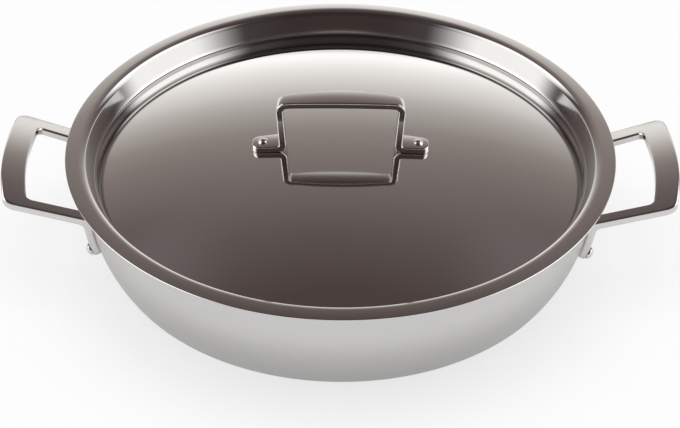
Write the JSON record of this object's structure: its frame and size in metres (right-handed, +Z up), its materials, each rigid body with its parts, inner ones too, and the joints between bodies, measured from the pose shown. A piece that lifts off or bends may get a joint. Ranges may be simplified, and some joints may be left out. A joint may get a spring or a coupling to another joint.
{
  "type": "lidded braiser",
  "caption": "Wide, shallow clad-steel pan with a rounded base, a flared lip, riveted loop handles at the sides and a recessed domed lid with a riveted strap handle.",
  "frame": {"origin": "on the pot's axis, at the face it stands on", "axes": "+Z up along the pot's axis; +X out through the right side handle; the picture looks along +Y from the front"},
  "size_m": [0.39, 0.3158, 0.1058],
  "materials": {
    "satin_steel": "fine satin, brushed round the axis",
    "core_aluminium": "cut edge, machined",
    "inner_steel": "satin, brushed round the axis",
    "handle_steel": "cast stainless steel, mirror polished, not plated",
    "rivet_steel": "stainless steel, polished head",
    "lid_steel": "drawn stainless sheet, polished, not plated"
  },
  "bodies": {
    "pot": {"pot_outer_ply": "satin_steel", "pot_core_ply": "core_aluminium", "pot_inner_ply": "inner_steel", "left_handle": "handle_steel", "right_handle": "handle_steel", "left_front_rivet": "rivet_steel", "left_rear_rivet": "rivet_steel", "right_front_rivet": "rivet_steel", "right_rear_rivet": "rivet_steel"},
    "lid": {"lid_shell": "lid_steel", "lid_handle": "handle_steel", "lid_left_rivet": "rivet_steel", "lid_right_rivet": "rivet_steel"}
  },
  "joints": [
    {"name": "lid_lift", "type": "slide", "parent": "pot", "child": "lid", "axis": [0, 0, 1], "range_m": [0, 0.1]}
  ]
}
